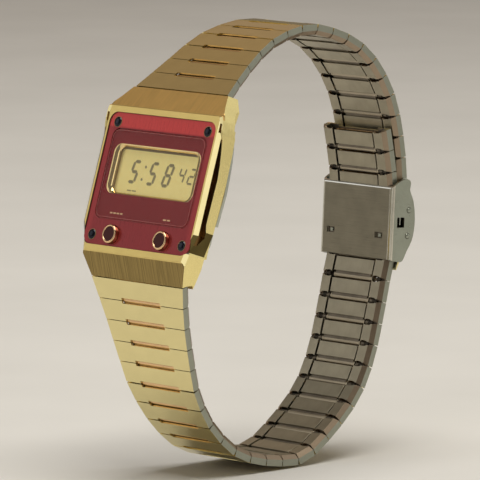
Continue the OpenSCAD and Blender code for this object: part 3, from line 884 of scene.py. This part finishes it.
# screws
prof = [(0, -0.9), (0.48, -0.9), (0.48, 0.0), (0.84, 0.0), (0.86, 0.03), (0.82, 0.09), (0.70, 0.17), (0.52, 0.235), (0.32, 0.275), (0.14, 0.292), (0, 0.296)]
dome = lathe(prof, 40)
# painted shade: a thin dark ring round each screw head
shade_ring = lathe([(0, 0.0), (0.98, 0.0), (0.97, 0.03), (0.86, 0.035), (0, 0.035)], 40)
finish_obj(join([(dome, ["screw"], None, Matrix.Translation((x, v, 0.02))) for x, v in SCREWS] + [(shade_ring, ["gap_shade"], None, Matrix.Translation((x, v, 0))) for x, v in SCREWS], "v_screws"), "v_face_screws", HEAD, "head", ["face_screws"])

# buttons
prof = [(0, -2.35), (0.6, -2.35), (0.6, -0.9), (1.62, -0.9), (1.65, -0.87), (1.65, 0.68), (1.63, 0.75), (1.57, 0.81), (1.48, 0.845), (1.38, 0.845), (1.33, 0.82), (1.30, 0.76), (1.30, 0.70), (0, 0.70)]
cap = lathe(prof, 56)
ink = lathe([(0, 0.70), (1.295, 0.70), (1.295, 0.735), (1.1, 0.74), (0, 0.745)], 56)
flange = disc(0.95, -2.3, -2.1, n=28)
for nm, s in (("button_left", -1), ("button_right", 1)):
    me = join([(cap, ["gold_button"], None), (ink, ["inlay"], None), (flange, ["pin"], None)], "v_" + nm)
    finish_obj(moved(me, s * BUTTON_X, BUTTON_V), "v_" + nm, HEAD, nm, [nm])

# case back
rim_back = slab(25.5, 22.3, 2.4, -5.2, -4.6, n=10)
dish = slab(23.4, 20.2, 2.0, -6.4, -5.1, n=10)
hollow = slab(22.4, 19.2, 1.6, -5.9, -4.0, n=10)
notch = box_mesh(-1.6, 1.6, -11.6, -10.75, -5.3, -4.95)
bulge_r = [(12.7, 8.8), (13.2, 8.6), (13.65, 6), (13.95, 2.5), (14.04, 0), (13.9, -2.2), (13.7, -5.4), (12.7, -5.4)]
bulge = prism_mesh([(x, v) for x, v in bulge_r[::-1]] + [(-x, v) for x, v in bulge_r], -5.19, -4.61, "Z")
back = boolean(boolean(boolean(rim_back, [dish], "UNION"), [bulge], "UNION"), [hollow, notch])
back = soften(back, 0.12, 3, 40)
groove_ring = ring([(21.2, 18.0, 1.4, -6.41), (21.2, 18.0, 1.4, -6.36), (20.9, 17.7, 1.3, -6.36), (20.9, 17.7, 1.3, -6.41)])
back = boolean(back, [groove_ring])
finish_obj(join([(back, ["back_brushed", "steel"], lambda c, n: 0 if n.z < -0.9 and c.z < -6.2 else 1)], "v_case_back"), "v_case_back", HEAD, "head", ["case_back"])

# ------------------------------------------------------------------ clasp: y down the channel, z outwards
FLOOR, CHX, SHEET, CHL = -3.62, 9.0, 0.4, 13.7
flange_side = [(1.1, FLOOR), (0.75, -3.45), (-0.25, -1.95), (-0.6, -0.6), (-0.6, 0.1), (-0.4, 0.65), (0, 0.88), (0.5, 0.85), (1.35, 0.65),
               (2.1, 1.1), (3.1, 1.62), (4.2, 1.95), (5.45, 2.17), (6.8, 2.27), (8, 2.22), (9.2, 2.05), (10.3, 1.75), (11.3, 1.2),
               (12.2, 0.55), (13.3, 0), (14, -0.45), (14.2, -1), (14.05, -2.4), (CHL, FLOOR)]
flange_side = chaikin(chaikin(flange_side, (0, 23)), (0, 45))
rr = 0.85


def u_arc(r, s, x=CHX - rr, z=FLOOR + rr):
    return [(s * (x + r * cs(a)), z + r * sn(a)) for a in ((0, -15, -30, -45, -60, -75, -90) if s > 0 else (-90, -75, -60, -45, -30, -15, 0))]


u_out = [(CHX, 3)] + u_arc(rr, 1) + u_arc(rr, -1) + [(-CHX, 3)]
u_in = [(CHX - SHEET, 3)] + u_arc(rr - SHEET, 1) + u_arc(rr - SHEET, -1) + [(-CHX + SHEET, 3)]
section = u_out + u_in[::-1]
channel = prism_mesh(section, -2, 16, "Y")
channel = boolean(channel, [prism_mesh(flange_side, -10, 10)], "INTERSECT")
cuts = [box_mesh(-10, 10, 6.2, 8.0, -2.2, -0.4), prism_mesh([(0.9, FLOOR + 0.22), (0.9, -3.0), (2.3, -3.0), (2.3, FLOOR + SHEET)], -8.15, 8.15)]
for x in (-6.25, 5.85):
    cuts.append(box_mesh(x - 0.95, x + 0.95, 9.0, 10.05, FLOOR - 0.5, FLOOR + 0.16))
    cuts.append(box_mesh(x - 0.62, x + 0.95, 9.0, 10.05, FLOOR - 0.5, FLOOR + 0.3))
channel = boolean(channel, cuts)
channel = soften(channel, 0.07, 2, 40)
tabs = []
for x in (-6.25, 5.85):
    tabs.append((soften(box_mesh(x - 0.15, x + 0.55, 9.26, 9.8, FLOOR + 0.04, FLOOR + 0.3), 0.05, 2), ["flange"], None))


def channel_pick(c, n):
    if abs(c.x) > CHX - 0.02 or abs(n.x) > 0.93:
        return 1
    if c.z < FLOOR + rr and abs(c.x) > CHX - rr - 0.05 and -0.993 < n.z < -0.1:
        return 2
    if c.z < FLOOR + 0.45 and n.y < -0.4 and abs(c.x) < CHX - rr and c.y < 2:
        return 4
    if 8.9 < c.y < 10.1 and c.z > FLOOR + 0.02 and c.z < FLOOR + 0.35:
        return 3
    return 0


strips = [(box_mesh(s * 8.68 - 0.07, s * 8.68 + 0.07, 6.25, 7.55, -1.34, -1.16), ["steel"], None) for s in (1, -1)]
# the channel's fold and the top edge of its floor carry painted highlights, the slots for the tabs painted shade
finish_obj(join([(channel, ["floor", "flange", "fold", "recess_shade", "steel_edge_highlight"], channel_pick)] + tabs + strips, "v_clasp_channel"), "v_clasp_channel", CL, "clasp", ["clasp_channel"], 13)

# pins with domed ends
pins = []
for y, z, half in ((0, 0, 8.95), (4.9, 0.62, 9.0), (9.5, 0.5, 9.0)):
    pins.append((prism_mesh(circle(0.295, 20, y, z), -half, half), ["pin"], None))
    if half > 8.96:
        for s in (1, -1):
            d = lathe([(0, 0), (0.46, 0), (0.455, 0.07), (0.40, 0.15), (0.27, 0.215), (0.12, 0.24), (0, 0.245)], 32)
            k = lathe([(0, 0), (0.56, 0), (0.56, 0.018), (0, 0.018)], 32)
            pins.append((k, ["hole"], None, Matrix.Translation((s * 8.99, y, z)) @ Matrix.Rotation(math.radians(90 * s), 4, "Y")))
            pins.append((d, ["flange"], None, Matrix.Translation((s * 8.99, y, z)) @ Matrix.Rotation(math.radians(90 * s), 4, "Y")))
finish_obj(join(pins, "v_clasp_pins"), "v_clasp_pins", CL, "clasp", ["clasp_pins"])

# fold-over cover, between the flanges
cov = [(1.55, 0.68), (2.2, 1.05), (3.1, 1.52), (4.2, 1.84), (5.45, 2.06), (6.8, 2.16), (8, 2.11), (9.2, 1.94), (10.3, 1.64), (11.3, 1.09), (12.2, 0.45), (13.3, -0.1), (14.2, -0.56),
       (15.1, -1), (15.75, -1.3), (15.4, -1.45), (14.6, -1.18), (13.9, -0.98), (12.6, -0.42), (12, -0.1), (10.2, 1.1), (8, 1.5), (6.8, 1.5), (5.45, 1.38), (3.3, 0.9), (1.75, 0.15)]
cov = chaikin(chaikin(cov, (0, 14, 15, 25)), ())
cover = soften(prism_mesh(cov, -8.42, 8.42), 0.12, 3, 40)
lug = [(-0.1, 0.78), (0.3, -0.7), (3.5, 0.2), (3.8, 1.5), (1.6, 0.66)]
lugs = []
for s in (1, -1):
    x0, x1 = sorted((8.02 * s, 8.38 * s))
    lugs.append((soften(prism_mesh(lug, x0, x1), 0.04, 2), ["steel"], None))
    lugs.append((soften(boolean(prism_mesh(circle(0.8, 32), x0, x1), [prism_mesh(circle(0.34, 20), -10, 10)]), 0.03, 2, 50), ["steel"], None))


def cover_pick(c, n):
    if abs(n.x) > 0.3:
        return 1
    return 0 if n.z > 0.0 or (n.y > 0.3 and n.z > -0.3) else 2


finish_obj(join([(cover, ["cover_out", "link_edge", "steel"], cover_pick)] + lugs, "v_clasp_cover"), "v_clasp_cover", CL, "clasp_cover", ["clasp_cover"])

# lever
lev = [(0, -0.6), (3.1, -1.58), (3.5, -1.6), (3.5, -1.32), (3.1, -1.25), (0, 0.1)]
lever = boolean(boolean(prism_mesh(lev, -6.5, 6.5), [prism_mesh(circle(0.62, 36), -6.5, 6.5)], "UNION"), [prism_mesh(circle(0.34, 24), -10, 10)])
finish_obj(moved(join([(soften(lever, 0.05, 2, 45), ["steel"], None)], "v_lever"), 0, 9.5, 0.5), "v_clasp_lever", CL, "clasp_lever", ["clasp_lever"])

# nodes kept as they are, inside the case
for node, key in (("module_frame", "black"), ("circuit_board", "board"), ("battery", "battery"), ("button_springs", "pin"), ("gaskets", "rubber"), ("spring_bars", "pin")):
    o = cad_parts[node]
    if not o.material_slots:
        o.data.materials.append(M[key])
    for ms in o.material_slots:
        ms.link = "OBJECT"
        ms.material = M[key]

# ------------------------------------------------------------------ stage, light, camera
LOW_Z = LO0.z
bm = bmesh.new()
bmesh.ops.create_grid(bm, x_segments=1, y_segments=1, size=6.0)
fl = bpy.data.meshes.new("floor")
bm.to_mesh(fl); bm.free()
floor = bpy.data.objects.new("floor", fl)
bpy.context.scene.collection.objects.link(floor)
floor.location = (0, 0, LOW_Z - 0.0004)
fm = Mat("floor_pale")
fm.put(Roughness=0.75)
fm.link(fm.ramp(fm.noise((0.02, 0.02, 0.02), 3, 0.5), [(0.3, (0.62, 0.61, 0.59)), (0.7, (0.66, 0.65, 0.63))]), fm.b.inputs["Base Color"])
fl.materials.append(fm.m)


def area(name, loc, target, size, power, color=(1, 1, 1), size_y=None):
    l = bpy.data.lights.new(name, "AREA")
    l.energy = power
    l.size = size
    if size_y:
        l.shape = "RECTANGLE"
        l.size_y = size_y
    l.color = color
    o = bpy.data.objects.new(name, l)
    bpy.context.scene.collection.objects.link(o)
    o.location = loc
    o.rotation_euler = (Vector(target) - Vector(loc)).to_track_quat("-Z", "Y").to_euler()
    return o


area("key", (-0.95, -0.85, 0.50), (0, 0.01, 0), 0.9, 1.9, (1, 0.98, 0.94))
area("front", (0.42, -0.97, 0.34), (0, 0.0, 0), 0.42, 0.94, (1, 0.98, 0.95), 0.72)
area("top", (0.15, 0.0, 1.15), (0, 0.0, 0), 0.9, 15.5, (1, 0.96, 0.88))
area("back", (0.50, 1.0, 0.50), (0, 0.02, -0.02), 1.15, 2.5, (1, 0.98, 0.94))
area("warm", (-1.0, 0.55, 0.65), (0, 0.02, 0), 0.9, 0.55, (1.0, 0.62, 0.36))
w = bpy.data.worlds.new("studio")
bpy.context.scene.world = w
w.use_nodes = True
w.node_tree.nodes["Background"].inputs["Color"].default_value = (0.50, 0.46, 0.40, 1)
w.node_tree.nodes["Background"].inputs["Strength"].default_value = 0.24

AZ, EL, FPX = 46.5, 7.24, 5454.8
cam = bpy.data.cameras.new("photo")
cam.sensor_width = 36.0
cam.lens = FPX / 480.0 * 36.0
cam.clip_end = 50
co = bpy.data.objects.new("photo", cam)
bpy.context.scene.collection.objects.link(co)
R = Vector((cs(AZ), sn(AZ), 0))
U = Vector((-sn(AZ) * sn(EL), cs(AZ) * sn(EL), cs(EL)))
F = Vector((-sn(AZ) * cs(EL), cs(AZ) * cs(EL), -sn(EL)))
T = Vector((-15.569, -9.778, 939.038))
C = -(R * T.x - U * T.y + F * T.z) + DEPTH * Vector((0, -cs(TILT), sn(TILT)))
rot = Matrix((R, U, -F)).transposed()
co.matrix_world = Matrix.Translation(C * MM) @ rot.to_4x4()
bpy.context.scene.camera = co
bpy.context.scene.view_settings.view_transform = "Standard"
